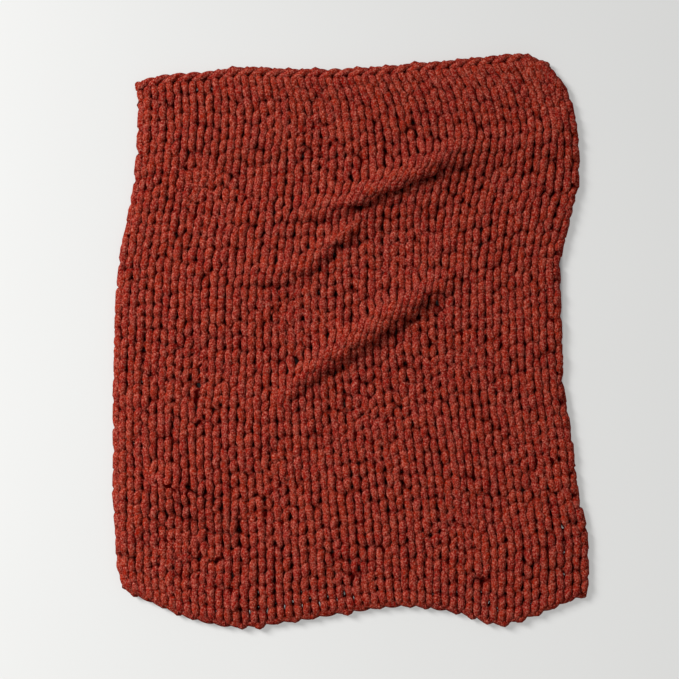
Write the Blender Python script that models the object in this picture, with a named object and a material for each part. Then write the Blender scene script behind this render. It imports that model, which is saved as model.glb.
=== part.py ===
"""A chunky knit blanket lying loosely on a flat surface, knit side up.

Metres, +Z up. The origin is at the middle of the blanket's box, on the surface that it lies on. +Y runs
along the knitted columns towards the bound-off edge, and +X runs to the right along the rows.
"""

import math

import bmesh
import bpy
import numpy as np
from mathutils import Vector
from mathutils.geometry import delaunay_2d_cdt

MM = 0.001

# The cloth, in millimetres.
THICK = 32.0  # from the surface to the top of a stitch
RIM_ROUND = 16.0  # radius of the rounded rim, seen in a cut across it
RIM_INSET = 10.0  # from the outline to where the rim meets the surface below
LEGS = 58  # half-stitches across the cloth: each is a raised rib that runs along a column
GROOVE = 6.5  # how deep the ribs are parted
CHAIN_MIDDLE = 12.0  # from the outline to the crest of the bound-off chain or of the cast-on rim
CHAIN_GROOVE = 25.0  # from the outline to the groove where the ribs begin
CHAIN_RISE = 1.5  # the chain's crest over the ribs' crests
UNEVEN = 3.5  # how far the lying cloth rises and sinks between its folds
CALM_RIM = 70.0  # folds die out within this distance of the outline

# The four sides of the outline as the cloth lies: x to the right, y towards the bound-off edge.
TOP_EDGE = (
    (-563, 681), (-492, 701), (-361, 712), (-266, 722), (-143, 716), (45, 720),
    (168, 731), (276, 740), (407, 755), (449, 755), (493, 741), (517, 731),
)
RIGHT_EDGE = (
    (517, 731), (554, 686), (580, 634), (598, 548), (603, 477), (601, 403), (582, 330),
    (556, 231), (551, 189), (554, 110), (561, -100), (577, -207), (590, -309), (603, -403),
    (624, -490), (627, -571), (627, -637), (616, -673),
)
BOTTOM_EDGE = (
    (-597, -645), (-576, -665), (-500, -700), (-413, -734), (-295, -755), (-154, -741),
    (-28, -720), (79, -705), (168, -702), (284, -719), (362, -744), (407, -747),
    (493, -720), (580, -684), (616, -673),
)
LEFT_EDGE = (
    (-563, 681), (-560, 608), (-562, 529), (-576, 383), (-601, 252), (-614, 139),
    (-623, -47), (-625, -178), (-623, -296), (-625, -401), (-618, -506), (-615, -576),
    (-597, -645),
)
LEFT_REACH = 3.0  # how fast the left side's bends fade towards the middle: higher is faster
RIGHT_REACH = 4.0

# How far the columns drift to the right at a quarter, half and three quarters of the way across. The
# first column is how far down the cloth, as a share.
DRIFTS = (
    (0.00, 16, 2, 4),
    (0.08, 30, 24, 26),
    (0.17, 20, 25, 32),
    (0.27, 9, 9, 3),
    (0.38, -1, -3, -5),
    (0.50, -2, -12, -16),
    (0.65, -11, -10, -11),
    (0.82, -3, 1, 1),
    (1.00, -11, 10, -10),
)

# The folds. Each row is a place along a fold's crest: where the crest is, how high it stands over the
# cloth, how far it reaches on its upper side (towards +Y) and on its lower side, and how steep each of
# these sides is, from 0 (it runs out softly) to 1 (it is round and meets the cloth in a crease).
FOLD_COLUMNS = ("x", "y", "height", "upper", "lower", "steep above", "steep below")
FOLDS = {
    "main": (
        (-200, 326, 0, 40, 44, 0.2, 0.0), (-128, 346, 16, 44, 48, 0.5, 0.0),
        (-65, 362, 29, 50, 50, 0.8, 0.3), (-4, 385, 40, 52, 49, 0.9, 0.8),
        (48, 408, 44, 54, 47, 1.0, 1.0), (108, 433, 45, 54, 47, 1.0, 1.0),
        (179, 463, 44, 54, 48, 1.0, 1.0), (223, 482, 41, 52, 51, 1.0, 0.9),
        (276, 504, 34, 46, 60, 1.0, 0.6), (339, 516, 24, 42, 74, 1.0, 0.1),
        (407, 527, 18, 40, 84, 1.0, 0.0), (472, 540, 15, 40, 90, 1.0, 0.0),
        (538, 552, 14, 40, 90, 1.0, 0.0), (610, 560, 0, 40, 90, 0.6, 0.0),
    ),
    "under main": (
        (-90, 296, 0, 30, 70, 0.0, 0.0), (-4, 324, 12, 32, 80, 0.0, 0.0),
        (108, 372, 14, 34, 90, 0.0, 0.0), (223, 418, 13, 34, 90, 0.0, 0.0),
        (320, 450, 0, 32, 80, 0.0, 0.0),
    ),
    "lower": (
        (-215, -175, 0, 50, 50, 0.3, 0.0), (-170, -130, 10, 54, 54, 0.6, 0.0),
        (-120, -82, 19, 56, 60, 0.8, 0.1), (-70, -42, 27, 58, 64, 0.9, 0.3),
        (-28, -14, 32, 58, 66, 1.0, 0.5), (14, 14, 34, 58, 66, 1.0, 0.6),
        (77, 54, 34, 58, 66, 1.0, 0.6), (129, 86, 32, 56, 64, 1.0, 0.6),
        (171, 110, 28, 54, 60, 1.0, 0.5), (215, 134, 20, 52, 54, 0.8, 0.3),
        (255, 156, 11, 48, 46, 0.5, 0.1), (300, 176, 0, 44, 40, 0.2, 0.0),
    ),
    "ripple": (
        (-310, 170, 0, 34, 36, 0.2, 0.0), (-255, 174, 10, 36, 40, 0.6, 0.1),
        (-200, 180, 16, 38, 44, 0.9, 0.3), (-140, 198, 18, 40, 48, 0.9, 0.3),
        (-90, 224, 17, 40, 46, 0.8, 0.3), (-40, 260, 15, 36, 36, 0.7, 0.3),
        (5, 290, 11, 30, 30, 0.4, 0.2), (45, 312, 0, 26, 26, 0.2, 0.0),
    ),
    "shoulder": (
        (-500, 545, 0, 50, 46, 0.2, 0.2), (-430, 530, 8, 50, 50, 0.3, 0.4),
        (-320, 514, 11, 50, 50, 0.3, 0.5), (-220, 508, 9, 50, 46, 0.3, 0.4),
        (-130, 508, 0, 46, 40, 0.2, 0.2),
    ),
    "corner": (
        (-556, -338, 0, 28, 66, 0.4, 0.0), (-505, -360, 18, 28, 70, 0.8, 0.0),
        (-440, -398, 26, 28, 74, 1.0, 0.0), (-380, -432, 26, 28, 74, 1.0, 0.0),
        (-332, -458, 18, 28, 70, 0.8, 0.0), (-285, -486, 0, 28, 66, 0.4, 0.0),
    ),
    "tuck": (
        (-345, -690, 0, 26, 30, 0.0, 0.0), (-312, -690, 15, 26, 30, 0.0, 0.0),
        (-275, -690, 0, 26, 30, 0.0, 0.0),
    ),
    "dip": (
        (190, 98, 0, 36, 36, 0.0, 0.0), (228, 98, -10, 36, 36, 0.0, 0.0),
        (268, 98, 0, 36, 36, 0.0, 0.0),
    ),
}

# How far each fold leans over its lower side, as a share of its height (over its upper side where this is
# negative), and how far the columns lean to the right on its crest, for each millimetre of its height.
FORM_COLUMNS = ("overhang", "lean")
FORMS = {
    "main": (0.15, 0.0085),
    "under main": (0.0, 0.0),
    "lower": (0.10, 0.0080),
    "ripple": (0.10, 0.0070),
    "shoulder": (0.0, 0.0),
    "corner": (-0.25, 0.0),
    "tuck": (0.0, 0.0),
    "dip": (0.0, 0.0),
}
SOFT_FOOT, STEEP_FOOT = 1.5, 0.5  # the powers that shape a fold's sides

# Two shallow gutters along the columns: the middle, the depth, and half the width and half the length.
GUTTERS = ((-540, -45, 7, 28, 180), (-398, -140, 7, 26, 150))

# The hollow under the main fold, as shares of the fold's own height and reaches.
HOLLOW_HEIGHT = 0.72
HOLLOW_UPPER = 0.80  # where the hollow begins on the upper side
HOLLOW_WALL = 30.0  # cloth between the fold's lower foot and the hollow, in millimetres
LOWEST_HOLLOWED = 20.0  # where the fold is lower than this it has no hollow
HOLLOW_STEP = 24.0

# How the solid is divided.
ROWS = 39
FOLD_CROWDING = 1.6  # how much closer the rows lie on a fold
CROWDED_FROM = 24.0  # a fold this high has its rows this close
EVENED_OVER = 6  # columns to each side over which the rows' places are evened
COLUMN_SAMPLES = 500
UNDERSIDE_STEP = 110.0

YARN_COLOUR = (0.26, 0.032, 0.018, 1.0)
YARN_ROUGHNESS = 0.95


def smooth_line(rows, count=600):
    """Rows spaced evenly along a smooth curve through the given ones, measured by x and y."""
    given = np.array(rows, dtype=float)
    ends = np.vstack([2 * given[0] - given[1], given, 2 * given[-1] - given[-2]])
    t = np.linspace(0, 1, 24, endpoint=False)[:, None]
    pieces = []
    for a, b, c, d in zip(ends, ends[1:], ends[2:], ends[3:]):
        bend = (2 * a - 5 * b + 4 * c - d) * t**2 + (3 * b - a - 3 * c + d) * t**3
        pieces.append(b + 0.5 * (c - a) * t + 0.5 * bend)
    line = np.vstack([*pieces, given[-1:]])
    steps = np.linalg.norm(np.diff(line[:, :2], axis=0), axis=1)
    length = np.concatenate([[0], np.cumsum(steps)])
    even = np.linspace(0, length[-1], count)
    return np.stack([np.interp(even, length, column) for column in line.T], axis=1)


SIDES = {
    "top": smooth_line(TOP_EDGE),
    "right": smooth_line(RIGHT_EDGE),
    "bottom": smooth_line(BOTTOM_EDGE),
    "left": smooth_line(LEFT_EDGE),
}
FOLD_LINES = {name: smooth_line(rows, 200) for name, rows in FOLDS.items()}
OUTLINE = np.vstack(list(SIDES.values()))
MIDDLE = (OUTLINE.min(axis=0) + OUTLINE.max(axis=0)) / 2
WIDTH, LENGTH = OUTLINE.max(axis=0) - OUTLINE.min(axis=0)


def on_side(name, share):
    """The points at these shares of one side's length."""
    line = SIDES[name]
    steps = np.linspace(0, 1, len(line))
    return np.stack([np.interp(share, steps, line[:, k]) for k in (0, 1)], axis=-1)


def smooth_between(places, nodes, values):
    """A smooth curve through the values at the nodes, read at these places."""
    slopes = np.gradient(values, nodes, axis=0)
    k = np.clip(np.searchsorted(nodes, places) - 1, 0, len(nodes) - 2)
    span = (nodes[k + 1] - nodes[k])[..., None]
    t = (places - nodes[k])[..., None] / span
    start = values[k] * (1 + 2 * t) * (1 - t) ** 2 + slopes[k] * span * t * (1 - t) ** 2
    end = values[k + 1] * t**2 * (3 - 2 * t) - slopes[k + 1] * span * t**2 * (1 - t)
    return start + end


def drift(across, down):
    """How far the columns lie to the right of an even spread, as a share of the width."""
    table = np.array(DRIFTS, dtype=float)
    quarters = np.linspace(0, 1, 5)
    share_of_each = smooth_between(across, quarters, np.eye(5))[..., 1:4]
    shift_at_each = smooth_between(down, table[:, 0], table[:, 1:])
    return (share_of_each * shift_at_each).sum(axis=-1) / WIDTH


def plan(across, down):
    """x and y of the cloth's points: columns run from the top edge to the bottom edge, and bend with the
    sides near them."""
    u = (across + drift(across, down))[..., None]
    v = down[..., None]
    top_left, top_right = SIDES["top"][0], SIDES["top"][-1]
    bottom_left, bottom_right = SIDES["bottom"][0], SIDES["bottom"][-1]
    left_bend = on_side("left", down) - (1 - v) * top_left - v * bottom_left
    right_bend = on_side("right", down) - (1 - v) * top_right - v * bottom_right
    straight = (1 - v) * on_side("top", u[..., 0]) + v * on_side("bottom", u[..., 0])
    return straight + (1 - u) ** LEFT_REACH * left_bend + u**RIGHT_REACH * right_bend


def fold_at(name, x):
    """The fold's crest, height, reaches and steepness over these x."""
    line = FOLD_LINES[name]
    fold = {key: np.interp(x, line[:, 0], line[:, k]) for k, key in enumerate(FOLD_COLUMNS)}
    inside = (x > FOLDS[name][0][0]) & (x < FOLDS[name][-1][0])
    fold["height"] = np.where(inside, fold["height"], 0)
    fold.update(zip(FORM_COLUMNS, FORMS[name]))
    return fold


def fold_move(name, x, y):
    """How far one fold moves the cloth at these points: to the right, up the page and off the floor."""
    fold = fold_at(name, x)
    off = y - fold["y"]
    share = np.clip(np.where(off > 0, off / fold["upper"], -off / fold["lower"]), 0, 1)
    steep = np.where(off > 0, fold["steep above"], fold["steep below"])
    lift = fold["height"] * (1 - share**2) ** (SOFT_FOOT + (STEEP_FOOT - SOFT_FOOT) * steep)
    hanging = fold["steep below"] if fold["overhang"] > 0 else fold["steep above"]
    beside = off - (fold["upper"] - fold["lower"]) / 4
    reach = (fold["upper"] + fold["lower"]) / 2
    slide = fold["lean"] * fold["height"] * beside / (1 + (beside / reach) ** 2 / 2)
    return np.stack([slide, -fold["overhang"] * hanging * lift, lift], axis=-1)


def waviness(x, y):
    """The small rise and fall of cloth that lies loosely."""
    rise = UNEVEN * (np.sin(x / 61 + y / 83) + np.sin(x / 97 - y / 71 + 1.3)) / 2
    for middle_x, middle_y, depth, half_width, half_length in GUTTERS:
        rise = rise - depth * swell((x - middle_x) / half_width) * swell((y - middle_y) / half_length)
    return rise


def swell(distance):
    """A smooth bump: 1 in the middle, 0 from a distance of 1 on."""
    return np.cos(np.clip(np.abs(distance), 0, 1) * math.pi / 2) ** 2


def rim_fullness(distance):
    """How full the rim is at a distance from the outline: 0 at the outline, 1 where it is flat."""
    inward = np.clip(distance / RIM_ROUND, 0, 1)
    return np.sqrt(1 - (1 - inward) ** 2)


def smooth_top(across, down):
    """The upper face without its ribs: x, y and z, and how full the rim is there."""
    xy = plan(across, down)
    x, y = xy[..., 0], xy[..., 1]
    side, end = from_outline(across, down)
    calm = np.clip(np.minimum(side, end) / CALM_RIM, 0, 1)
    full = rim_fullness(side) * rim_fullness(end)
    flat = THICK * (0.5 + 0.5 * full) + waviness(x, y) * calm
    folds = sum(fold_move(name, x, y) for name in FOLDS) * calm[..., None]
    return np.stack([x, y, flat], axis=-1) + folds, full


def from_outline(across, down):
    """The distances of the cloth's points from the nearer selvedge and from the nearer end."""
    return np.minimum(across, 1 - across) * WIDTH, np.minimum(down, 1 - down) * LENGTH


def knit_top(across, down):
    """The knit side: the smooth face with a rib for each half-stitch and a chain along both ends."""
    points, full = smooth_top(across, down)
    side, end = from_outline(across, down)
    parted = 0.5 + 0.5 * np.cos(2 * math.pi * LEGS * across)
    ribs_begin = np.clip((end - CHAIN_MIDDLE) / (CHAIN_GROOVE - CHAIN_MIDDLE), 0, 1)
    chain = CHAIN_RISE * swell((end - CHAIN_MIDDLE) / CHAIN_MIDDLE)
    below_chain = GROOVE * swell((end - CHAIN_GROOVE) / CHAIN_MIDDLE)
    relief = (chain - below_chain) * rim_fullness(side) - GROOVE * parted * ribs_begin * full
    points[..., 2] += relief
    return points


def row_places(across):
    """For one column, the shares of its length at which the solid's rows lie, closer on the folds."""
    down = np.linspace(0, 1, COLUMN_SAMPLES)
    line, _ = smooth_top(np.full_like(down, across), down)
    step = np.linalg.norm(np.diff(line, axis=0), axis=1)
    lifted = np.abs(line[1:, 2] - THICK) - UNEVEN
    crowded = 1 + FOLD_CROWDING * np.clip(lifted / CROWDED_FROM, 0, 1)
    run = np.concatenate([[0], np.cumsum(step * crowded)])
    rim = np.array([0, CHAIN_MIDDLE, CHAIN_GROOVE]) / LENGTH
    first = np.interp(1.6 * rim[-1], down, run)
    last = np.interp(1 - 1.6 * rim[-1], down, run)
    between = np.interp(np.linspace(first, last, ROWS + 1 - 2 * len(rim)), run, down)
    return np.concatenate([rim, between, 1 - rim[::-1]])


def evened(places):
    """The rows' places, each averaged with those of the columns beside it."""
    beside = np.pad(places, ((EVENED_OVER, EVENED_OVER), (0, 0)), mode="edge")
    shifts = range(2 * EVENED_OVER + 1)
    return sum(beside[k : k + len(places)] for k in shifts) / len(shifts)


def lay_knit_side(bm):
    """A grid whose points are laid on the knit side."""
    columns = 2 * LEGS
    bmesh.ops.create_grid(bm, x_segments=columns, y_segments=ROWS, size=0.5)
    places = evened(np.array([row_places(k / columns) for k in range(columns + 1)]))
    column = np.array([round((vertex.co.x + 0.5) * columns) for vertex in bm.verts])
    row = np.array([round((0.5 - vertex.co.y) * ROWS) for vertex in bm.verts])
    for vertex, (x, y, z) in zip(bm.verts, knit_top(column / columns, places[column, row])):
        vertex.co = Vector((x - MIDDLE[0], y - MIDDLE[1], z)) * MM


def hollow_points():
    """The hollow under the main fold: at each step along the crest, two feet and a peak."""
    points = []
    for x in np.arange(FOLDS["main"][0][0], FOLDS["main"][-1][0], HOLLOW_STEP):
        fold = fold_at("main", x)
        if fold["height"] < LOWEST_HOLLOWED or WIDTH / 2 - x < 2 * CALM_RIM:
            continue
        points.append((x, fold["y"] + HOLLOW_UPPER * fold["upper"], 0.0))
        points.append((x, fold["y"], HOLLOW_HEIGHT * fold["height"]))
        points.append((x, fold["y"] + HOLLOW_WALL - fold["lower"], 0.0))
    return np.array(points) - (*MIDDLE, 0)


def resting_points(ring, hollow):
    """A few points of the flat underside, away from its rim and from the hollow."""
    taken = np.vstack([ring, hollow])[:, :2]
    low, high = ring[:, :2].min(axis=0), ring[:, :2].max(axis=0)
    points = []
    for x in np.arange(low[0] + UNDERSIDE_STEP, high[0], UNDERSIDE_STEP):
        for y in np.arange(low[1] + UNDERSIDE_STEP, high[1], UNDERSIDE_STEP):
            inside = low[0] + 60 < x < high[0] - 60 and low[1] + 110 < y < high[1] - 110
            if inside and np.linalg.norm(taken - (x, y), axis=1).min() > UNDERSIDE_STEP / 3:
                points.append((x, y, 0.0))
    return np.array(points)


def border_in_order(bm):
    """The vertices of the grid's border, one after another."""
    after = {}
    for edge in bm.edges:
        if edge.is_boundary:
            after[edge.link_loops[0].vert] = edge.link_loops[0].link_loop_next.vert
    order = [next(iter(after))]
    while after[order[-1]] is not order[0]:
        order.append(after[order[-1]])
    return order


def resting_ring(order):
    """The border moved inwards, and down to the surface that the cloth lies on."""
    points = np.array([vertex.co for vertex in order])[:, :2] / MM
    ahead = np.roll(points, -3, axis=0) - np.roll(points, 3, axis=0)
    inward = np.stack([-ahead[:, 1], ahead[:, 0]], axis=1)
    inward /= np.linalg.norm(inward, axis=1)[:, None]
    ring = points + inward * RIM_INSET
    return np.concatenate([ring, np.zeros((len(ring), 1))], axis=1)


def close_below(bm):
    """The rounded rim, and a flat underside with a hollow under the main fold."""
    order = border_in_order(bm)
    ring = resting_ring(order)
    hollow = hollow_points()
    points = np.vstack([ring, hollow, resting_points(ring, hollow)])
    count = len(ring)
    rim_edges = [(k, (k + 1) % count) for k in range(count)]
    flat = [Vector(point[:2]) for point in points]
    spread = delaunay_2d_cdt(flat, rim_edges, [], 1, 1e-6)
    faces, sources = spread[2], [source[0] for source in spread[3]]
    below = {source: bm.verts.new(Vector(points[source]) * MM) for source in sources}
    for face in faces:
        bm.faces.new([below[sources[k]] for k in reversed(face)])
    for k, vertex in enumerate(order):
        following = (k + 1) % count
        bm.faces.new([order[following], vertex, below[k], below[following]])


def yarn_material():
    material = bpy.data.materials.new("chenille_yarn")
    material.use_nodes = True
    shader = material.node_tree.nodes["Principled BSDF"]
    shader.inputs["Base Color"].default_value = YARN_COLOUR
    shader.inputs["Roughness"].default_value = YARN_ROUGHNESS
    shader.inputs["Metallic"].default_value = 0.0
    return material


def knit_blanket():
    """The whole blanket: one cloth, with its chain, rim and selvedges."""
    bm = bmesh.new()
    lay_knit_side(bm)
    close_below(bm)
    bmesh.ops.recalc_face_normals(bm, faces=bm.faces[:])
    mesh = bpy.data.meshes.new("knit_blanket")
    bm.to_mesh(mesh)
    bm.free()
    mesh.materials.append(yarn_material())
    bpy.context.scene.collection.objects.link(bpy.data.objects.new("knit_blanket", mesh))


def main():
    for old in list(bpy.data.objects):
        bpy.data.objects.remove(old, do_unlink=True)
    knit_blanket()


main()
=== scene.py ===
"""The finish of a chunky knit blanket, which lies loosely on a flat floor, knit side up.

Every row of knitting is modelled as one run of thick chenille yarn: its loops follow the lying cloth, hold
the row below and are held by the row above. A bound-off chain and a cast-on rim close the two ends.
"""

import math
from collections import namedtuple

import bmesh
import bpy
import numpy as np
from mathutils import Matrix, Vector
from mathutils.kdtree import KDTree


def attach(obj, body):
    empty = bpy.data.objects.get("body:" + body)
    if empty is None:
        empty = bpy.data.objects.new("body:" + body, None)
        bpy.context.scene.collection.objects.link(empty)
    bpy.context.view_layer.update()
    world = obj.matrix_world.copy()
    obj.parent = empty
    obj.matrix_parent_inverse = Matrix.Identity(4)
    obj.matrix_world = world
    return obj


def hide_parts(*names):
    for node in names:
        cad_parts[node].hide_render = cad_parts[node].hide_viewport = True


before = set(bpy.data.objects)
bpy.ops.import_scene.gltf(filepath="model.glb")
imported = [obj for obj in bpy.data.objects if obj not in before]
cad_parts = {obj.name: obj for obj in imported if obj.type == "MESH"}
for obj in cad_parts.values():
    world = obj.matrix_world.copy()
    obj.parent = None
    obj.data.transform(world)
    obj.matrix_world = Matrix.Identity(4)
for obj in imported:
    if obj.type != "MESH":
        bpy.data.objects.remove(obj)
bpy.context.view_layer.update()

MM = 0.001

# The cloth, in millimetres.
THICK = 32.0  # from the floor to the top of a stitch
UNEVEN = 3.5  # how far the lying cloth rises and sinks between its folds
CALM_RIM = 70.0  # folds die out within this distance of the outline
RIM_DROP = 7.0  # how far the outermost stitches sink
RIM_DROP_WIDTH = 34.0

# The four sides of the outline as the cloth lies: x to the right, y towards the bound-off edge.
TOP_EDGE = (
    (-563, 681), (-492, 701), (-361, 712), (-266, 722), (-143, 716), (45, 720),
    (168, 731), (276, 740), (407, 755), (449, 755), (493, 741), (517, 731),
)
RIGHT_EDGE = (
    (517, 731), (554, 686), (580, 634), (598, 548), (603, 477), (601, 403), (582, 330),
    (556, 231), (551, 189), (554, 110), (561, -100), (577, -207), (590, -309), (603, -403),
    (624, -490), (627, -571), (627, -637), (616, -673),
)
BOTTOM_EDGE = (
    (-597, -645), (-576, -665), (-500, -700), (-413, -734), (-295, -755), (-154, -741),
    (-28, -720), (79, -705), (168, -702), (284, -719), (362, -744), (407, -747),
    (493, -720), (580, -684), (616, -673),
)
LEFT_EDGE = (
    (-563, 681), (-560, 608), (-562, 529), (-576, 383), (-601, 252), (-614, 139),
    (-623, -47), (-625, -178), (-623, -296), (-625, -401), (-618, -506), (-615, -576),
    (-597, -645),
)
LEFT_REACH = 3.0  # how fast the left side's bends fade towards the middle: higher is faster
RIGHT_REACH = 4.0

# How far the columns drift to the right at a quarter, half and three quarters of the way across. The
# first column is how far down the cloth, as a share.
DRIFTS = (
    (0.00, 16, 2, 4),
    (0.08, 30, 24, 26),
    (0.17, 20, 25, 32),
    (0.27, 9, 9, 3),
    (0.38, -1, -3, -5),
    (0.50, -2, -12, -16),
    (0.65, -11, -10, -11),
    (0.82, -3, 1, 1),
    (1.00, -11, 10, -10),
)

# The folds. Each row is a place along a fold's crest: where the crest is, how high it stands over the
# cloth, how far it reaches on its upper side (towards +Y) and on its lower side, and how steep each of
# these sides is, from 0 (it runs out softly) to 1 (it is round and meets the cloth in a crease).
FOLD_COLUMNS = ("x", "y", "height", "upper", "lower", "steep above", "steep below")
FOLDS = {
    "main": (
        (-200, 326, 0, 40, 44, 0.2, 0.0), (-128, 346, 16, 44, 48, 0.5, 0.0),
        (-65, 362, 29, 50, 50, 0.8, 0.3), (-4, 385, 40, 52, 49, 0.9, 0.8),
        (48, 408, 44, 54, 47, 1.0, 1.0), (108, 433, 45, 54, 47, 1.0, 1.0),
        (179, 463, 44, 54, 48, 1.0, 1.0), (223, 482, 41, 52, 51, 1.0, 0.9),
        (276, 504, 34, 46, 60, 1.0, 0.6), (339, 516, 24, 42, 74, 1.0, 0.1),
        (407, 527, 18, 40, 84, 1.0, 0.0), (472, 540, 15, 40, 90, 1.0, 0.0),
        (538, 552, 14, 40, 90, 1.0, 0.0), (610, 560, 0, 40, 90, 0.6, 0.0),
    ),
    "under main": (
        (-90, 296, 0, 30, 70, 0.0, 0.0), (-4, 324, 12, 32, 80, 0.0, 0.0),
        (108, 372, 14, 34, 90, 0.0, 0.0), (223, 418, 13, 34, 90, 0.0, 0.0),
        (320, 450, 0, 32, 80, 0.0, 0.0),
    ),
    "lower": (
        (-215, -175, 0, 50, 50, 0.3, 0.0), (-170, -130, 10, 54, 54, 0.6, 0.0),
        (-120, -82, 19, 56, 60, 0.8, 0.1), (-70, -42, 27, 58, 64, 0.9, 0.3),
        (-28, -14, 32, 58, 66, 1.0, 0.5), (14, 14, 34, 58, 66, 1.0, 0.6),
        (77, 54, 34, 58, 66, 1.0, 0.6), (129, 86, 32, 56, 64, 1.0, 0.6),
        (171, 110, 28, 54, 60, 1.0, 0.5), (215, 134, 20, 52, 54, 0.8, 0.3),
        (255, 156, 11, 48, 46, 0.5, 0.1), (300, 176, 0, 44, 40, 0.2, 0.0),
    ),
    "ripple": (
        (-310, 170, 0, 34, 36, 0.2, 0.0), (-255, 174, 10, 36, 40, 0.6, 0.1),
        (-200, 180, 16, 38, 44, 0.9, 0.3), (-140, 198, 18, 40, 48, 0.9, 0.3),
        (-90, 224, 17, 40, 46, 0.8, 0.3), (-40, 260, 15, 36, 36, 0.7, 0.3),
        (5, 290, 11, 30, 30, 0.4, 0.2), (45, 312, 0, 26, 26, 0.2, 0.0),
    ),
    "shoulder": (
        (-500, 545, 0, 50, 46, 0.2, 0.2), (-430, 530, 8, 50, 50, 0.3, 0.4),
        (-320, 514, 11, 50, 50, 0.3, 0.5), (-220, 508, 9, 50, 46, 0.3, 0.4),
        (-130, 508, 0, 46, 40, 0.2, 0.2),
    ),
    "corner": (
        (-556, -338, 0, 28, 66, 0.4, 0.0), (-505, -360, 18, 28, 70, 0.8, 0.0),
        (-440, -398, 26, 28, 74, 1.0, 0.0), (-380, -432, 26, 28, 74, 1.0, 0.0),
        (-332, -458, 18, 28, 70, 0.8, 0.0), (-285, -486, 0, 28, 66, 0.4, 0.0),
    ),
    "tuck": (
        (-345, -690, 0, 26, 30, 0.0, 0.0), (-312, -690, 15, 26, 30, 0.0, 0.0),
        (-275, -690, 0, 26, 30, 0.0, 0.0),
    ),
    "dip": (
        (190, 98, 0, 36, 36, 0.0, 0.0), (228, 98, -10, 36, 36, 0.0, 0.0),
        (268, 98, 0, 36, 36, 0.0, 0.0),
    ),
}

# How far each fold leans over its lower side, as a share of its height (over its upper side where this is
# negative), and how far the columns lean to the right on its crest, for each millimetre of its height.
FORM_COLUMNS = ("overhang", "lean")
FORMS = {
    "main": (0.30, 0.0085),
    "under main": (0.0, 0.0),
    "lower": (0.15, 0.0080),
    "ripple": (0.15, 0.0070),
    "shoulder": (0.0, 0.0),
    "corner": (-0.5, 0.0),
    "tuck": (0.0, 0.0),
    "dip": (0.0, 0.0),
}
SOFT_FOOT, STEEP_FOOT = 1.5, 0.5  # the powers that shape a fold's sides

# Two shallow gutters along the columns: the middle, the depth, and half the width and half the length.
GUTTERS = ((-540, -45, 3, 28, 180), (-398, -140, 4, 26, 150))

# The knitting. Shares are of a stitch's width or of a row's height.
STITCHES = 29  # columns of V-shaped stitches across the cloth
ROWS = 44
BANDS = 4  # the rows are modelled in this many pieces
YARN_RADIUS = 12.0  # in the middle of a leg
RINGS = 20  # sections of yarn in one stitch
SIDES_OF_YARN = 8
SPREAD = 0.15  # how far the legs of a stitch spread at its top and close at its foot
FIRST_SPREAD = 0.12  # the same for the first row
REACH = 0.88  # how far a loop reaches above and below the middle of its row
MID_DEPTH = 18.5  # the yarn's middle under the face of the cloth, between its legs and its back
SWING = 7.2  # how far the yarn comes forward in the legs and goes back behind them
TUCK = 5.4  # how much deeper the head of a loop lies than its foot
THINNING = 0.14  # how much thinner the yarn is drawn between a leg and the back
FULLER = 0.14  # how much thicker the yarn is at the back, where it fills the gaps between the legs
TOP_MARGIN = 17.0  # from the outline to the last row, under the bound-off chain
BOTTOM_MARGIN = 23.0  # from the outline to the first row, over the cast-on rim
EDGE_INSET = 9.0  # the yarn keeps this far from the outline where it turns at a selvedge
CAST_ON_FORWARD = 4.0  # how much further forward the feet of the first row lie
SEED = 7

# How uneven the legs are: sideways in millimetres, in height as a share of a row, in depth in
# millimetres, in thickness as a share, and in their spread as a share of a stitch's width.
UNEVENNESS = (2.0, 0.24, 1.6, 0.08, 0.06)
CALM_ROWS = (0, 1, ROWS - 1)
END_CALM = 0.35  # how uneven these rows are, as a share of the others
CREST_CALM = 0.6  # how much less uneven the stitches on a high crest are

# Each column of legs also wanders up and down and sideways over its rows, by shares of a row's height
# and of a stitch's width. One turn of its wandering takes this many rows, from the least to the most.
STAGGER = 0.24
WANDER = 0.03
WANDER_ROWS = (4.5, 11.0)

# How much a column's climb onto a fold, and its fall behind the crest, count when rows are spaced, and how
# much longer its stitches are on the crest of a high fold.
CLIMB_SHARE = 0.3
FALL_SHARE = 0.7
CREST_STRETCH = 0.34

# How finely the cloth's surface is worked out.
ACROSS_SAMPLES = 233
DOWN_SAMPLES = 900
ALONG_SAMPLES = 353

# The photograph's view: straight down, with the frame's middle beside the middle of the blanket.
FRAME_WIDTH = 1779.0
FRAME_LEVEL = 24.0  # the height at which the frame has that width
CAMERA_HEIGHT = 3200.0
CAMERA_X, CAMERA_Y = -30.0, 6.5
SENSOR = 36.0


def smooth_line(rows, count=600):
    """Rows spaced evenly along a smooth curve through the given ones, measured by x and y."""
    given = np.array(rows, dtype=float)
    ends = np.vstack([2 * given[0] - given[1], given, 2 * given[-1] - given[-2]])
    t = np.linspace(0, 1, 24, endpoint=False)[:, None]
    pieces = []
    for a, b, c, d in zip(ends, ends[1:], ends[2:], ends[3:]):
        bend = (2 * a - 5 * b + 4 * c - d) * t**2 + (3 * b - a - 3 * c + d) * t**3
        pieces.append(b + 0.5 * (c - a) * t + 0.5 * bend)
    line = np.vstack([*pieces, given[-1:]])
    steps = np.linalg.norm(np.diff(line[:, :2], axis=0), axis=1)
    length = np.concatenate([[0], np.cumsum(steps)])
    even = np.linspace(0, length[-1], count)
    return np.stack([np.interp(even, length, column) for column in line.T], axis=1)


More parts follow.
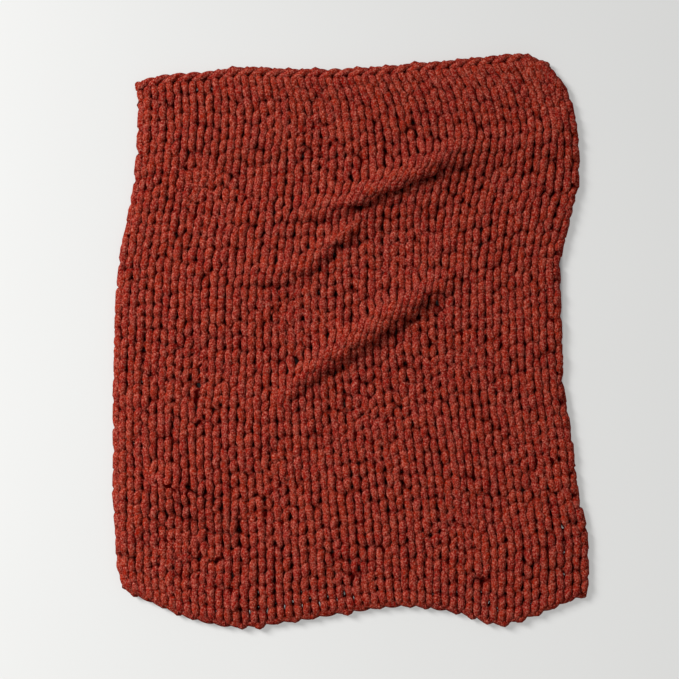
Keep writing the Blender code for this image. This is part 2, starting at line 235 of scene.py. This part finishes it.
SIDES = {
    "top": smooth_line(TOP_EDGE),
    "right": smooth_line(RIGHT_EDGE),
    "bottom": smooth_line(BOTTOM_EDGE),
    "left": smooth_line(LEFT_EDGE),
}
FOLD_LINES = {name: smooth_line(rows, 200) for name, rows in FOLDS.items()}
OUTLINE = np.vstack(list(SIDES.values()))
MIDDLE = (OUTLINE.min(axis=0) + OUTLINE.max(axis=0)) / 2
WIDTH, LENGTH = OUTLINE.max(axis=0) - OUTLINE.min(axis=0)


def on_side(name, share):
    """The points at these shares of one side's length."""
    line = SIDES[name]
    steps = np.linspace(0, 1, len(line))
    return np.stack([np.interp(share, steps, line[:, k]) for k in (0, 1)], axis=-1)


def smooth_between(places, nodes, values):
    """A smooth curve through the values at the nodes, read at these places."""
    slopes = np.gradient(values, nodes, axis=0)
    k = np.clip(np.searchsorted(nodes, places) - 1, 0, len(nodes) - 2)
    span = (nodes[k + 1] - nodes[k])[..., None]
    t = (places - nodes[k])[..., None] / span
    start = values[k] * (1 + 2 * t) * (1 - t) ** 2 + slopes[k] * span * t * (1 - t) ** 2
    end = values[k + 1] * t**2 * (3 - 2 * t) - slopes[k + 1] * span * t**2 * (1 - t)
    return start + end


def drift(across, down):
    """How far the columns lie to the right of an even spread, as a share of the width."""
    table = np.array(DRIFTS, dtype=float)
    quarters = np.linspace(0, 1, 5)
    share_of_each = smooth_between(across, quarters, np.eye(5))[..., 1:4]
    shift_at_each = smooth_between(down, table[:, 0], table[:, 1:])
    return (share_of_each * shift_at_each).sum(axis=-1) / WIDTH


def plan(across, down):
    """x and y of the cloth's points: columns run from the top edge to the bottom edge, and bend with the
    sides near them."""
    u = (across + drift(across, down))[..., None]
    v = down[..., None]
    top_left, top_right = SIDES["top"][0], SIDES["top"][-1]
    bottom_left, bottom_right = SIDES["bottom"][0], SIDES["bottom"][-1]
    left_bend = on_side("left", down) - (1 - v) * top_left - v * bottom_left
    right_bend = on_side("right", down) - (1 - v) * top_right - v * bottom_right
    straight = (1 - v) * on_side("top", u[..., 0]) + v * on_side("bottom", u[..., 0])
    return straight + (1 - u) ** LEFT_REACH * left_bend + u**RIGHT_REACH * right_bend


def fold_at(name, x):
    """The fold's crest, height, reaches and steepness over these x."""
    line = FOLD_LINES[name]
    fold = {key: np.interp(x, line[:, 0], line[:, k]) for k, key in enumerate(FOLD_COLUMNS)}
    inside = (x > FOLDS[name][0][0]) & (x < FOLDS[name][-1][0])
    fold["height"] = np.where(inside, fold["height"], 0)
    fold.update(zip(FORM_COLUMNS, FORMS[name]))
    return fold


def fold_move(name, x, y):
    """How far one fold moves the cloth at these points: to the right, up the page and off the floor."""
    fold = fold_at(name, x)
    off = y - fold["y"]
    share = np.clip(np.where(off > 0, off / fold["upper"], -off / fold["lower"]), 0, 1)
    steep = np.where(off > 0, fold["steep above"], fold["steep below"])
    lift = fold["height"] * (1 - share**2) ** (SOFT_FOOT + (STEEP_FOOT - SOFT_FOOT) * steep)
    hanging = fold["steep below"] if fold["overhang"] > 0 else fold["steep above"]
    beside = off - (fold["upper"] - fold["lower"]) / 4
    reach = (fold["upper"] + fold["lower"]) / 2
    slide = fold["lean"] * fold["height"] * beside / (1 + (beside / reach) ** 2 / 2)
    return np.stack([slide, -fold["overhang"] * hanging * lift, lift], axis=-1)


def waviness(x, y):
    """The small rise and fall of cloth that lies loosely."""
    rise = UNEVEN * (np.sin(x / 61 + y / 83) + np.sin(x / 97 - y / 71 + 1.3)) / 2
    for middle_x, middle_y, depth, half_width, half_length in GUTTERS:
        rise = rise - depth * swell((x - middle_x) / half_width) * swell((y - middle_y) / half_length)
    return rise


def swell(distance):
    """A smooth bump: 1 in the middle, 0 from a distance of 1 on."""
    return np.cos(np.clip(np.abs(distance), 0, 1) * math.pi / 2) ** 2


def face(across, down):
    """The face of the lying cloth, over the tops of its stitches."""
    xy = plan(across, down)
    x, y = xy[..., 0], xy[..., 1]
    side = np.minimum(across, 1 - across) * WIDTH
    end = np.minimum(down, 1 - down) * LENGTH
    rim = np.minimum(side, end)
    calm = np.clip(rim / CALM_RIM, 0, 1)
    flat = THICK - RIM_DROP * swell(rim / RIM_DROP_WIDTH) + waviness(x, y) * calm
    points = np.stack([x - MIDDLE[0], y - MIDDLE[1], flat], axis=-1)
    return points + sum(fold_move(name, x, y) for name in FOLDS) * calm[..., None]


def outward_from(columns):
    """The directions that point out of the face."""
    outward = np.cross(np.gradient(columns, axis=0), -np.gradient(columns, axis=1))
    return outward / np.linalg.norm(outward, axis=2)[..., None]


def even_columns():
    """Points of the face along each column, spaced evenly along the cloth, and the columns' lengths. The
    stitches are stretched where a column climbs onto a fold and on its crest, so these count for less.
    The first index is across the cloth and the second runs from the top edge down."""
    down = np.linspace(0, 1, DOWN_SAMPLES)
    across = np.linspace(0, 1, ACROSS_SAMPLES)
    points = face(*np.meshgrid(across, down, indexing="ij"))
    columns, lengths = [], []
    for line in points:
        steps = np.diff(line, axis=0)
        steps[:, 2] *= np.where(steps[:, 2] > 0, CLIMB_SHARE, FALL_SHARE)
        steps *= 1 - CREST_STRETCH * np.clip(line[1:, 2:] / THICK - 1, 0, 1)
        run = np.concatenate([[0], np.cumsum(np.linalg.norm(steps, axis=1))])
        even = np.linspace(0, run[-1], ALONG_SAMPLES)
        columns.append(np.stack([np.interp(even, run, line[:, k]) for k in range(3)], axis=1))
        lengths.append(run[-1])
    return np.array(columns), np.array(lengths)


FACE, COLUMN_LENGTHS = even_columns()
OUTWARD = outward_from(FACE)


def read_grid(grid, across, along):
    """The grid's values between its points."""
    i = np.clip(across, 0, 1) * (ACROSS_SAMPLES - 1)
    j = np.clip(along, 0, 1) * (ALONG_SAMPLES - 1)
    i0 = np.minimum(i.astype(int), ACROSS_SAMPLES - 2)
    j0 = np.minimum(j.astype(int), ALONG_SAMPLES - 2)
    a, b = (i - i0)[:, None], (j - j0)[:, None]
    left = (1 - b) * grid[i0, j0] + b * grid[i0, j0 + 1]
    right = (1 - b) * grid[i0 + 1, j0] + b * grid[i0 + 1, j0 + 1]
    return (1 - a) * left + a * right


Strand = namedtuple("Strand", "points radii depths outward")


def laid_strand(across, along, depths, radii):
    """Yarn whose middle lies at these depths under the face. Along is the share of the column's length
    from the top edge."""
    outward = read_grid(OUTWARD, across, along)
    points = read_grid(FACE, across, along) - depths[:, None] * outward
    points[:, 2] = np.maximum(points[:, 2], radii)
    return Strand(points, radii, depths, outward)


def column_length(across):
    return np.interp(across, np.linspace(0, 1, ACROSS_SAMPLES), COLUMN_LENGTHS)


def down_column(across, rows_up):
    """The share of the column's length, from the top edge, that is this many rows over the cast-on rim."""
    length = column_length(across)
    row_height = (length - TOP_MARGIN - BOTTOM_MARGIN) / ROWS
    return 1 - (BOTTOM_MARGIN + rows_up * row_height) / length


def crest_share(across, along):
    """1 where the cloth is lifted by its own thickness or more, and 0 where it isn't lifted."""
    return np.clip(read_grid(FACE, across, along)[:, 2] / THICK - 1, 0, 1)


def row_of_loops(row, uneven):
    """One row of knitting, from the left selvedge to the right one. Row 0 is the first one knitted, at
    the bottom."""
    turn = np.arange(STITCHES * RINGS + 1) / RINGS
    t = 2 * math.pi * turn - math.pi
    leg = np.arange(2 * STITCHES) + 0.5
    y = row + 0.5 + REACH * np.cos(t)
    calm = 1 - CREST_CALM * crest_share(turn / STITCHES, down_column(turn / STITCHES, y))
    sideways, height, deeper, thicker, wider = (calm * np.interp(2 * turn, leg, part) for part in uneven)
    depths = MID_DEPTH + SWING * np.cos(2 * t) + TUCK * np.cos(t) + deeper
    spread = SPREAD
    if row == 0:
        spread = FIRST_SPREAD
        depths -= CAST_ON_FORWARD * (0.5 - 0.5 * np.cos(t)) ** 3
    x = (turn + (spread + wider) * np.sin(2 * t)) / STITCHES * WIDTH + sideways
    across = np.clip(x, EDGE_INSET, WIDTH - EDGE_INSET) / WIDTH
    bulge = FULLER * np.clip(np.cos(2 * t), 0, 1) ** 2 - THINNING * np.sin(2 * t) ** 2
    radii = YARN_RADIUS * (1 + bulge) * (1 + thicker)
    return laid_strand(across, down_column(across, y + height), depths, radii)


def wandering(size, random):
    """A function that gives, for a row, how far each column of legs has wandered there."""
    starts = random.uniform(0, 2 * math.pi, 2 * STITCHES)
    paces = 2 * math.pi / random.uniform(*WANDER_ROWS, 2 * STITCHES)
    return lambda row: size * np.sin(starts + paces * row)


def knitted_band(first, last, stagger, wander, random):
    """The rows from first up to last, as one run of yarn that turns back at each selvedge."""
    rows = []
    for row in range(first, last):
        uneven = [size * random.uniform(-1, 1, 2 * STITCHES) for size in UNEVENNESS]
        uneven[0] += wander(row)
        uneven[1] += stagger(row)
        if row in CALM_ROWS:
            uneven = [END_CALM * part for part in uneven]
        step = 1 if row % 2 == 0 else -1
        rows.append([part[::step] for part in row_of_loops(row, uneven)])
    return Strand(*(np.concatenate(parts) for parts in zip(*rows)))


# The bound-off chain, in millimetres: two strands wound round each other along the top edge.
CHAIN_MIDDLE = 10.0  # from the outline to the middle of the chain
CHAIN_DEPTH = 11.0  # from the face of the cloth to the middle of the chain
CHAIN_STRAND = 9.2  # the radius of a strand
CHAIN_SWING = 5.0  # how far a strand winds away from the middle of the chain
CHAIN_RINGS = 12  # sections of yarn in one link
CHAIN_ENDS = (0.004, 0.996)  # where a strand begins and ends, as shares of the width

# The cast-on rim: two strands wound in the same way along the bottom edge, behind the first row.
RIM_MIDDLE = 14.5
RIM_DEPTH = 17.5
RIM_STRAND = 10.0
RIM_SWING = 5.0


def wound_strand(top, middle, depth, swing, strand, start):
    """A strand that winds along the top or the bottom edge, a link for each stitch."""
    link = np.arange(STITCHES * CHAIN_RINGS + 1) / CHAIN_RINGS
    angle = math.pi * link + start
    across = np.clip(link / STITCHES, *CHAIN_ENDS)
    inward = (middle + swing * np.cos(angle)) / column_length(across)
    along = inward if top else 1 - inward
    return laid_strand(across, along, depth - swing * np.sin(angle), np.full(len(link), strand))


def chain_strands():
    """The two strands of the bound-off chain."""
    return [
        wound_strand(True, CHAIN_MIDDLE, CHAIN_DEPTH, CHAIN_SWING, CHAIN_STRAND, start)
        for start in (0, math.pi)
    ]


def rim_strands():
    """The two strands of the cast-on rim."""
    return [
        wound_strand(False, RIM_MIDDLE, RIM_DEPTH, RIM_SWING, RIM_STRAND, start)
        for start in (0, math.pi)
    ]


def finder(points):
    """A tree that finds the nearest of these points."""
    tree = KDTree(len(points))
    for k, point in enumerate(points):
        tree.insert(point, k)
    tree.balance()
    return tree


def mark_groove_shade_depth(mesh, strands):
    """How far each point lies within the cloth, from its face, its back or its outline, in metres. It is
    kept in the mesh for the material, which paints the yarn darker the deeper it lies: painted shade in
    the grooves between the legs and in the gaps behind them."""
    middles = Strand(*(np.concatenate(parts) for parts in zip(*strands)))
    yarn_at = finder(middles.points * MM)
    outline = np.column_stack([OUTLINE - MIDDLE, np.zeros(len(OUTLINE))]) * MM
    outline_at = finder(outline)
    places = np.array([vertex.co for vertex in mesh.vertices])
    nearest = np.array([yarn_at.find(place)[1] for place in places])
    inset = np.array([outline_at.find((x, y, 0.0))[2] for x, y, z in places])
    rise = ((places / MM - middles.points[nearest]) * middles.outward[nearest]).sum(axis=1)
    depth = middles.depths[nearest] - rise
    groove_shade = mesh.attributes.new("groove_shade", "FLOAT", "POINT")
    groove_shade.data.foreach_set("value", np.minimum(np.minimum(depth, THICK - depth) * MM, inset))


def yarn_piece(name, strands, material):
    """A mesh of yarn along the given strands."""
    curve = bpy.data.curves.new(name, "CURVE")
    curve.dimensions = "3D"
    curve.bevel_depth = MM
    curve.bevel_resolution = (SIDES_OF_YARN - 4) // 2
    curve.use_fill_caps = True
    for strand in strands:
        spline = curve.splines.new("POLY")
        spline.points.add(len(strand.points) - 1)
        places = np.column_stack([strand.points * MM, np.ones(len(strand.points))])
        spline.points.foreach_set("co", places.ravel())
        spline.points.foreach_set("radius", strand.radii)
    guide = bpy.data.objects.new(name + "_guide", curve)
    bpy.context.scene.collection.objects.link(guide)
    evaluated = guide.evaluated_get(bpy.context.evaluated_depsgraph_get())
    mesh = bpy.data.meshes.new_from_object(evaluated)
    bpy.data.objects.remove(guide, do_unlink=True)
    mark_groove_shade_depth(mesh, strands)
    mesh.shade_smooth()
    mesh.materials.clear()
    mesh.materials.append(material)
    piece = bpy.data.objects.new(name, mesh)
    bpy.context.scene.collection.objects.link(piece)
    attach(piece, "root")
    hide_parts("knit_blanket")


def add_node(tree, kind, settings=(), **inputs):
    """A shader node with some of its settings and sockets set."""
    made = tree.nodes.new(kind)
    for key, value in dict(settings).items():
        setattr(made, key, value)
    for key, value in inputs.items():
        made.inputs[key.replace("_", " ")].default_value = value
    return made


def mixed(tree, factor, first, second, blend="MIX"):
    """A node that mixes two colours. Each is a colour or another node's output."""
    mix = add_node(tree, "ShaderNodeMix", {"data_type": "RGBA", "blend_type": blend})
    for socket, value in zip((mix.inputs[0], mix.inputs[6], mix.inputs[7]), (factor, first, second)):
        if isinstance(value, bpy.types.NodeSocket):
            tree.links.new(value, socket)
        else:
            socket.default_value = value
    return mix.outputs[2]


def spread_out(tree, value, low, high):
    """The value stretched so that low becomes 0 and high becomes 1."""
    node = add_node(tree, "ShaderNodeMapRange", From_Min=low, From_Max=high)
    tree.links.new(value, node.inputs["Value"])
    return node.outputs["Result"]


def math_node(tree, operation, *values):
    """A node that works out one number from others. Each is a number or another node's output."""
    node = add_node(tree, "ShaderNodeMath", {"operation": operation})
    for socket, value in zip(node.inputs, values):
        if isinstance(value, bpy.types.NodeSocket):
            tree.links.new(value, socket)
        else:
            socket.default_value = value
    return node.outputs[0]


# The chenille yarn. The dye drifts between two close reds. The pile stands in tufts and clumps, painted as
# a random speckle of paler lit tips (painted highlight) and dark gaps between tufts (painted shade).
RED_DYE = (0.210, 0.006, 0.003, 1.0)
ORANGE_DYE = (0.250, 0.013, 0.003, 1.0)
DYE_SCALE = 26.0
DYE_RANGE = (0.38, 0.62)
# Painted shade: the dark tone of the gaps between the tufts of pile.
TUFT_GAP_SHADE = (0.05, 0.0004, 0.0003, 1.0)
# Painted highlight: the paler tone of lit pile tips, a painted sheen scattered at random.
TUFT_TIP_HIGHLIGHT = (0.48, 0.160, 0.113, 1.0)
TUFT_SCALE = 290.0
TUFT_RANGE = (0.05, 0.70)
CLUMP_SCALE = 240.0
CLUMP_RANGE = (0.43, 0.76)
GAP_SHADE_SHARE = 0.72  # how dark the painted shade in the gaps between tufts is
# Painted shade: yarn that lies deep within the cloth, between the legs and behind them, is painted in this
# dark colour.
GROOVE_SHADE_COLOUR = (0.028, 0.0003, 0.0002, 1.0)
GROOVE_SHADE_DEPTHS = (0.0036, 0.0104)  # painted shade: the yarn is painted darker from the first depth within the cloth to the second, in metres
PILE_STRENGTH = 0.7
PILE_HEIGHT = 0.0015  # metres


def chenille():
    """Short-piled chenille yarn in two close reds, with specks of lit pile painted as paler highlights,
    gaps between its tufts painted in shade, and painted shade where the yarn lies deep within the cloth.
    """
    material = bpy.data.materials.new("chenille_yarn_with_painted_light")
    material.use_nodes = True
    tree = material.node_tree
    shader = tree.nodes["Principled BSDF"]
    place = tree.nodes.new("ShaderNodeTexCoord").outputs["Object"]
    tufts = add_node(tree, "ShaderNodeTexVoronoi", {"feature": "F1"}, Scale=TUFT_SCALE, Randomness=1.0)
    clumps = add_node(tree, "ShaderNodeTexNoise", Scale=CLUMP_SCALE, Detail=2.0, Roughness=0.6)
    dye = add_node(tree, "ShaderNodeTexNoise", Scale=DYE_SCALE, Detail=1.0)
    for texture in (tufts, clumps, dye):
        tree.links.new(place, texture.inputs["Vector"])
    dyed = mixed(tree, spread_out(tree, dye.outputs["Fac"], *DYE_RANGE), ORANGE_DYE, RED_DYE)
    # Painted light: the gaps between tufts are painted in a shaded tone, and the tips of clumped pile in a
    # paler, lit tone.
    shaded_gap_tone = mixed(tree, GAP_SHADE_SHARE, dyed, TUFT_GAP_SHADE)
    lit_tip_tone = mixed(tree, spread_out(tree, clumps.outputs["Fac"], *CLUMP_RANGE), dyed, TUFT_TIP_HIGHLIGHT)
    piled = mixed(tree, spread_out(tree, tufts.outputs["Color"], *TUFT_RANGE), shaded_gap_tone, lit_tip_tone)
    # Painted shade: the deeper the yarn lies within the cloth, the more it is painted in the dark groove
    # colour.
    inside = add_node(tree, "ShaderNodeAttribute", {"attribute_name": "groove_shade"}).outputs["Fac"]
    groove_shade = spread_out(tree, inside, *GROOVE_SHADE_DEPTHS)
    tree.links.new(mixed(tree, groove_shade, piled, GROOVE_SHADE_COLOUR), shader.inputs["Base Color"])
    shader.inputs["Roughness"].default_value = 0.92
    shader.inputs["Specular IOR Level"].default_value = 0.0
    pile = add_node(tree, "ShaderNodeBump", {"invert": True}, Strength=PILE_STRENGTH, Distance=PILE_HEIGHT)
    tree.links.new(tufts.outputs["Distance"], pile.inputs["Height"])
    tree.links.new(pile.outputs["Normal"], shader.inputs["Normal"])
    return material


# The floor, in metres from the blanket's middle. Its tone is painted a little darker up the page, as
# painted shade.
# Beside the blanket it glows, though it is no lamp: painted light that softens the shadows that fall on
# it. It does not glow under the blanket, where the glow would shine through gaps between stitches.
FLOOR_HALF = 12.0
# Painted shade: the floor's tone is painted darker from below to above.
FLOOR_TONE_BELOW = (0.374, 0.374, 0.367, 1.0)
FLOOR_SHADED_ABOVE = (0.358, 0.358, 0.352, 1.0)
FLOOR_SHADE_FADE_Y = (-0.9, 0.9)
PAPER_CLOUDS = (0.97, 0.97, 0.97, 1.0)
# Painted light: how strongly the floor glows beside the blanket.
PAPER_GLOW = 0.9
GLOW_FROM_X = (0.548, 0.562)
GLOW_FROM_Y = (0.655, 0.675)


def floor():
    """A plain pale floor, as wide as any view of the blanket needs."""
    mesh = bpy.data.meshes.new("floor")
    sheet = bmesh.new()
    bmesh.ops.create_grid(sheet, x_segments=1, y_segments=1, size=FLOOR_HALF)
    sheet.to_mesh(mesh)
    sheet.free()
    material = bpy.data.materials.new("pale_floor")
    material.use_nodes = True
    tree = material.node_tree
    shader = tree.nodes["Principled BSDF"]
    place = tree.nodes.new("ShaderNodeTexCoord").outputs["Object"]
    clouds = add_node(tree, "ShaderNodeTexNoise", Scale=1.3, Detail=2.0)
    tree.links.new(place, clouds.inputs["Vector"])
    split = tree.nodes.new("ShaderNodeSeparateXYZ")
    tree.links.new(place, split.inputs["Vector"])
    # Painted shade: the floor is painted darker towards the top.
    shaded_floor = mixed(tree, spread_out(tree, split.outputs["Y"], *FLOOR_SHADE_FADE_Y), FLOOR_TONE_BELOW, FLOOR_SHADED_ABOVE)
    tone = mixed(tree, clouds.outputs["Fac"], shaded_floor, PAPER_CLOUDS, "MULTIPLY")
    tree.links.new(tone, shader.inputs["Base Color"])
    # Painted light: beside the blanket the floor glows in its own tone.
    tree.links.new(tone, shader.inputs["Emission Color"])
    sideways = math_node(tree, "ABSOLUTE", split.outputs["X"])
    lengthways = math_node(tree, "ABSOLUTE", split.outputs["Y"])
    beside = [spread_out(tree, sideways, *GLOW_FROM_X), spread_out(tree, lengthways, *GLOW_FROM_Y)]
    glow = math_node(tree, "MULTIPLY", math_node(tree, "MAXIMUM", *beside), PAPER_GLOW)
    tree.links.new(glow, shader.inputs["Emission Strength"])
    shader.inputs["Roughness"].default_value = 0.85
    mesh.materials.append(material)
    made = bpy.data.objects.new("floor", mesh)
    bpy.context.scene.collection.objects.link(made)


def aim(thing, place, target):
    """Put a light in its place and turn it towards its target."""
    thing.location = place
    thing.rotation_euler = (Vector(target) - Vector(place)).to_track_quat("-Z", "Y").to_euler()


# The lights, in metres. The window light points past the blanket, so that its far corner is lit less.
KEY_PLACE = (-4.9, 2.9, 4.7)
KEY_TARGET = (-5.0, -8.0, 0.0)
KEY_SIZE = (3.0, 3.0)
KEY_POWER = 1210.0
SKY_COLOUR = (0.98, 0.99, 1.0, 1.0)
SKY_STRENGTH = 0.36


def lights():
    """A large soft window light, low at the upper left, and an even pale sky."""
    key = bpy.data.lights.new("window", "AREA")
    key.shape = "RECTANGLE"
    key.size, key.size_y = KEY_SIZE
    key.energy = KEY_POWER
    window = bpy.data.objects.new("window", key)
    bpy.context.scene.collection.objects.link(window)
    aim(window, KEY_PLACE, KEY_TARGET)
    world = bpy.data.worlds.new("sky")
    world.use_nodes = True
    sky = world.node_tree.nodes["Background"]
    sky.inputs["Color"].default_value = SKY_COLOUR
    sky.inputs["Strength"].default_value = SKY_STRENGTH
    bpy.context.scene.world = world


def camera():
    """Straight over the blanket, upright, as the photograph was taken."""
    lens = bpy.data.cameras.new("camera")
    lens.sensor_width = SENSOR
    lens.lens = SENSOR * (CAMERA_HEIGHT - FRAME_LEVEL) / FRAME_WIDTH
    viewer = bpy.data.objects.new("camera", lens)
    viewer.location = Vector((CAMERA_X, CAMERA_Y, CAMERA_HEIGHT)) * MM
    bpy.context.scene.collection.objects.link(viewer)
    bpy.context.scene.camera = viewer


def main():
    random = np.random.default_rng(SEED)
    yarn = chenille()
    stagger = wandering(STAGGER, random)
    wander = wandering(WANDER * WIDTH / STITCHES, random)
    ends = np.linspace(0, ROWS, BANDS + 1).astype(int)
    for k in range(BANDS):
        band = knitted_band(ends[k], ends[k + 1], stagger, wander, random)
        yarn_piece(f"knitted_rows_{k + 1}", [band], yarn)
    yarn_piece("bound_off_chain", chain_strands(), yarn)
    yarn_piece("cast_on_rim", rim_strands(), yarn)
    floor()
    lights()
    camera()
    bpy.context.scene.view_settings.view_transform = "Standard"


main()
